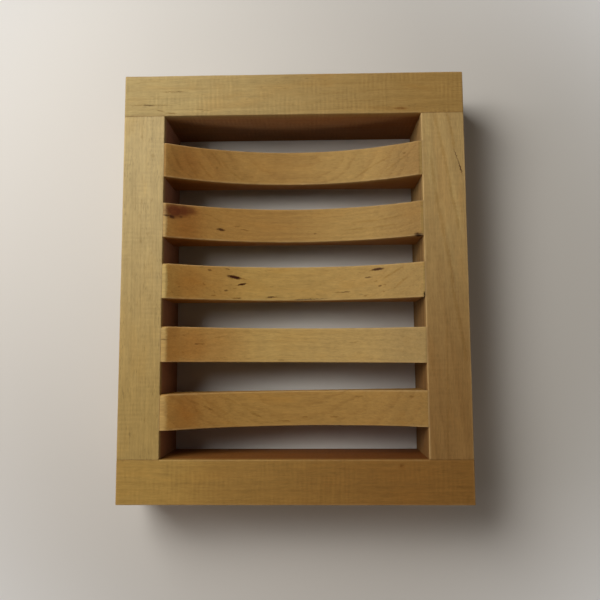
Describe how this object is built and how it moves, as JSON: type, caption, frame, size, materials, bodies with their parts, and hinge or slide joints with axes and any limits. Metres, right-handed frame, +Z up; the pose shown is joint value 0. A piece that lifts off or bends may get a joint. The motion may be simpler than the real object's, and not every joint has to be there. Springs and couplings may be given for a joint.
{
  "type": "soap dish",
  "caption": "Slatted wooden soap dish: a doweled rectangular frame whose slats have hollowed tops, raised so that a bar of soap sits in the hollow and drains.",
  "frame": {"origin": "middle of the footprint, on the surface that the dish stands on", "axes": "+X to the right along the slats, +Y to the back along the side rails, +Z up"},
  "size_m": [0.1, 0.1246, 0.022],
  "materials": {
    "end_rail_wood": "pale close-grained hardwood, sanded, grain running left to right",
    "side_rail_wood": "pale close-grained hardwood with fine flecks, sanded, grain running front to back",
    "slat_wood": "pale hardwood with brown flecks and a knot stain, cut across its rings in the hollow, sanded",
    "dowel_wood": "plain turned hardwood peg"
  },
  "bodies": {
    "root": {"end_rail_back": "end_rail_wood", "end_rail_front": "end_rail_wood", "side_rail_left": "side_rail_wood", "side_rail_right": "side_rail_wood", "slat_1": "slat_wood", "slat_2": "slat_wood", "slat_3": "slat_wood", "slat_4": "slat_wood", "slat_5": "slat_wood", "corner_dowel_back_left_lower": "dowel_wood", "corner_dowel_back_left_upper": "dowel_wood", "corner_dowel_back_right_lower": "dowel_wood", "corner_dowel_back_right_upper": "dowel_wood", "corner_dowel_front_left_lower": "dowel_wood", "corner_dowel_front_left_upper": "dowel_wood", "corner_dowel_front_right_lower": "dowel_wood", "corner_dowel_front_right_upper": "dowel_wood", "slat_dowel_1_left": "dowel_wood", "slat_dowel_1_right": "dowel_wood", "slat_dowel_2_left": "dowel_wood", "slat_dowel_2_right": "dowel_wood", "slat_dowel_3_left": "dowel_wood", "slat_dowel_3_right": "dowel_wood", "slat_dowel_4_left": "dowel_wood", "slat_dowel_4_right": "dowel_wood", "slat_dowel_5_left": "dowel_wood", "slat_dowel_5_right": "dowel_wood"}
  },
  "joints": []
}
